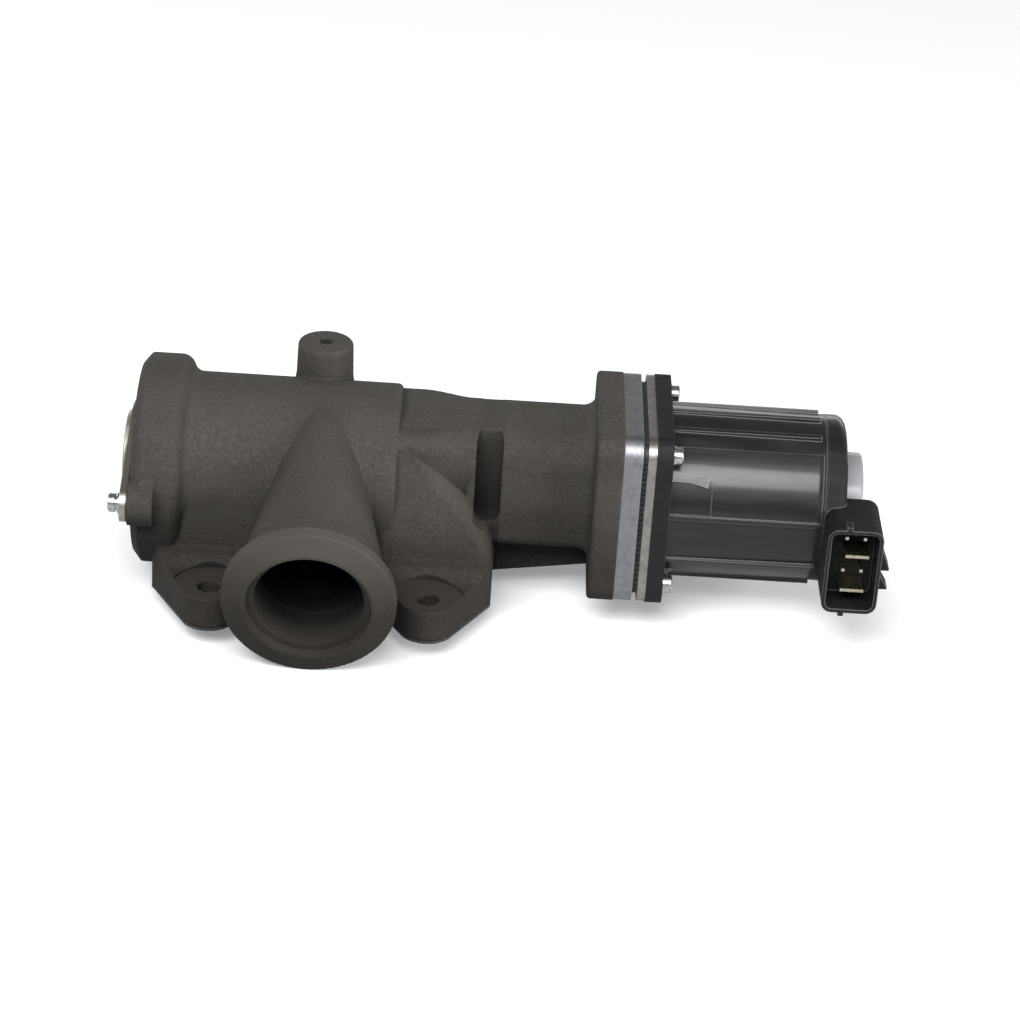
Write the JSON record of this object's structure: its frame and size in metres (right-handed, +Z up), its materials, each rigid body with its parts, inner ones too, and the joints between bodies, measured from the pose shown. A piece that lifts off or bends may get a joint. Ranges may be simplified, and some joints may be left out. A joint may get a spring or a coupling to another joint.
{
  "type": "egr valve",
  "caption": "Cast-iron exhaust gas recirculation valve with two flanged inlets, a V-band outlet, a double poppet and a ribbed electric actuator with a plug socket.",
  "frame": {"origin": "centre of the four mounting bolts, on the machined mounting face of the casting", "axes": "+X along the stem towards the motor, -Y to the outlet, +Z up, away from the mounting face"},
  "size_m": [0.3575, 0.1815, 0.1127],
  "materials": {
    "cast_iron": "sand cast, matte",
    "cover_steel": "pressed, yellow-passivated",
    "zinc_steel": "zinc plated",
    "stainless": "turned",
    "bronze": "turned",
    "spring_steel": "drawn wire",
    "aluminium_plate": "machined",
    "steel_plate": "stamped",
    "graphite": "perforated graphite facing",
    "black_plastic": "moulded, semi-gloss",
    "seal_rubber": "matte",
    "tinned_brass": "tin plated",
    "magnet": "sintered",
    "bearing_steel": "ground",
    "lamination": "stacked sheets",
    "copper_wire": "enamelled wire",
    "circuit_board": "solder mask"
  },
  "bodies": {
    "housing": {"valve_housing": "cast_iron", "end_cover": "cover_steel", "end_cover_gasket": "graphite", "end_cover_bolts": "zinc_steel", "seat_ring_left": "stainless", "seat_ring_right": "stainless", "stem_guide": "bronze", "stem_seal": "stainless", "return_spring": "spring_steel", "cooling_spacer": "aluminium_plate", "insulating_gasket": "graphite", "actuator_mount_plate": "steel_plate", "motor_housing": "black_plastic", "housing_seal": "seal_rubber", "actuator_screws": "zinc_steel", "rear_cover": "black_plastic", "connector_pins": "tinned_brass", "front_bearing": "bearing_steel", "rear_bearing": "bearing_steel", "bearing_bracket": "black_plastic", "stator_core": "lamination", "stator_coils": "copper_wire", "sensor_board": "circuit_board", "inlet_gasket_left": "graphite", "inlet_gasket_right": "graphite"},
    "valve": {"poppet_left": "stainless", "poppet_right": "stainless", "valve_stem": "stainless", "stem_nut": "stainless", "spring_retainer": "stainless", "lead_screw": "stainless"},
    "rotor": {"rotor_hub": "bronze", "rotor_magnets": "magnet", "sensor_magnet": "magnet"}
  },
  "joints": [
    {"name": "rotor_spin", "type": "hinge", "parent": "housing", "child": "rotor", "pos_m": [0.2, 0, 0.0475], "axis": [-1, 0, 0], "range_deg": [0, 300]},
    {"name": "valve_stroke", "type": "slide", "parent": "housing", "child": "valve", "axis": [-1, 0, 0], "range_m": [0, 0.01], "stiffness_N_per_m": 2000, "springref_m": -0.02, "deforming": ["return_spring"]}
  ],
  "couplings": [
    {"joint": "rotor_spin", "follows": "valve_stroke", "rad_per_m": 523.6}
  ]
}
